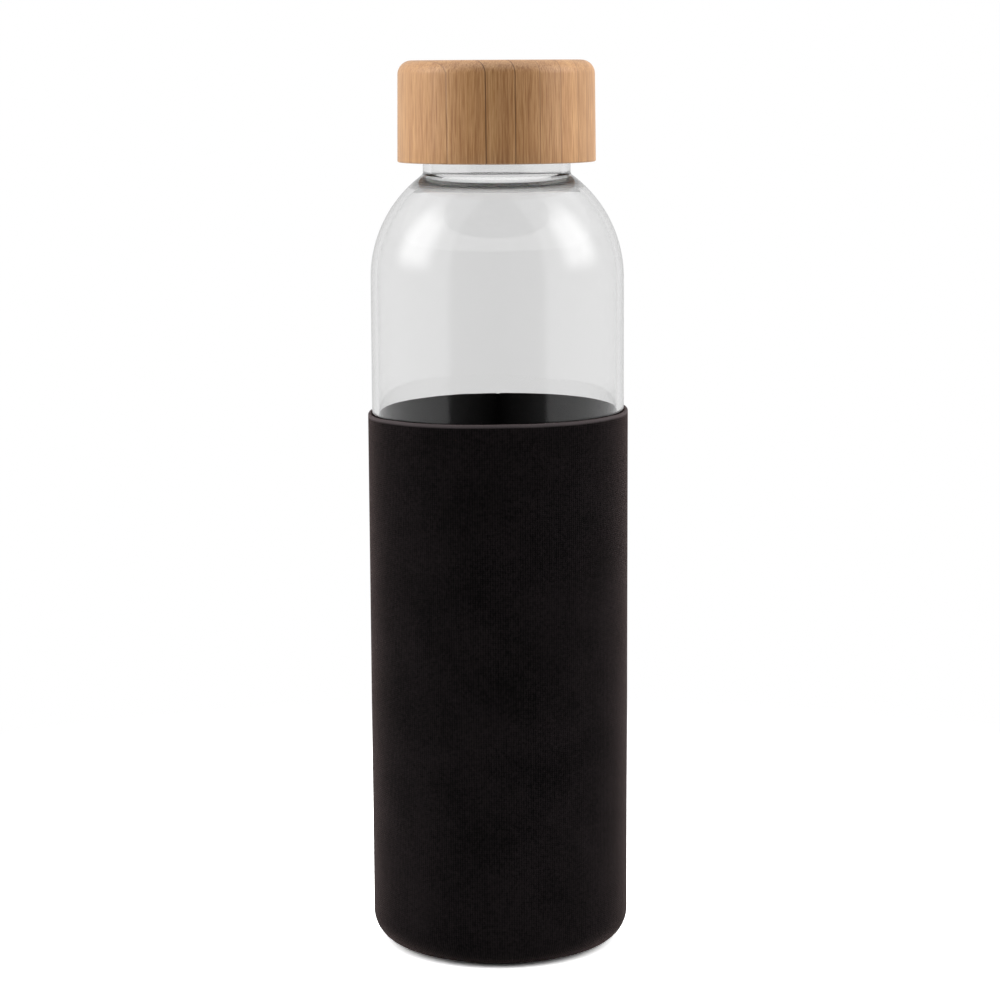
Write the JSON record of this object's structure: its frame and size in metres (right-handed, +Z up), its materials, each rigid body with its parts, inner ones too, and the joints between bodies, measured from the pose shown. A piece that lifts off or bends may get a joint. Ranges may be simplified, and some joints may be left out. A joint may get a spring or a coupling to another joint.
{
  "type": "water bottle",
  "caption": "Clear glass bottle with a domed shoulder and screw neck, a turned strip-bamboo screw cap with a plastic thread liner and gasket, and a sewn foam-rubber sleeve.",
  "frame": {"origin": "centre of the sleeve's flat underside, on the bottle's axis, where the bottle stands", "axes": "+Z up along the bottle's axis; -Y is the front; the sleeve's side seam is at +Y, the back"},
  "size_m": [0.0662, 0.0663, 0.2257],
  "materials": {
    "clear_glass": "polished",
    "bamboo": "oiled",
    "liner_plastic": "moulded",
    "silicone": "moulded",
    "neoprene": "knit",
    "sewing_thread": "twisted",
    "glue": "cured"
  },
  "bodies": {
    "sleeve": {"sleeve_wall": "neoprene", "sleeve_base": "neoprene", "side_seam_stitches": "sewing_thread", "base_seam_stitches": "sewing_thread"},
    "bottle": {"glass_bottle": "clear_glass"},
    "seal": {"cap_gasket": "silicone"},
    "cap": {"cap_strip_1": "bamboo", "cap_strip_2": "bamboo", "cap_strip_3": "bamboo", "cap_strip_4": "bamboo", "cap_strip_5": "bamboo", "cap_strip_6": "bamboo", "cap_strip_7": "bamboo", "cap_strip_8": "bamboo", "cap_strip_9": "bamboo", "thread_liner": "liner_plastic", "liner_glue": "glue"}
  },
  "joints": [
    {"name": "bottle_lift", "type": "slide", "parent": "sleeve", "child": "bottle", "axis": [0, 0, 1], "range_m": [0, 0.15]},
    {"name": "cap_lift", "type": "slide", "parent": "bottle", "child": "seal", "axis": [0, 0, 1], "range_m": [0, 0.0254]},
    {"name": "cap_turn", "type": "hinge", "parent": "seal", "child": "cap", "pos_m": [0, 0, 0.2], "axis": [0, 0, 1], "range_deg": [0, 2160]}
  ],
  "couplings": [
    {"joint": "cap_lift", "follows": "cap_turn", "m_per_rad": 0.00067323}
  ]
}
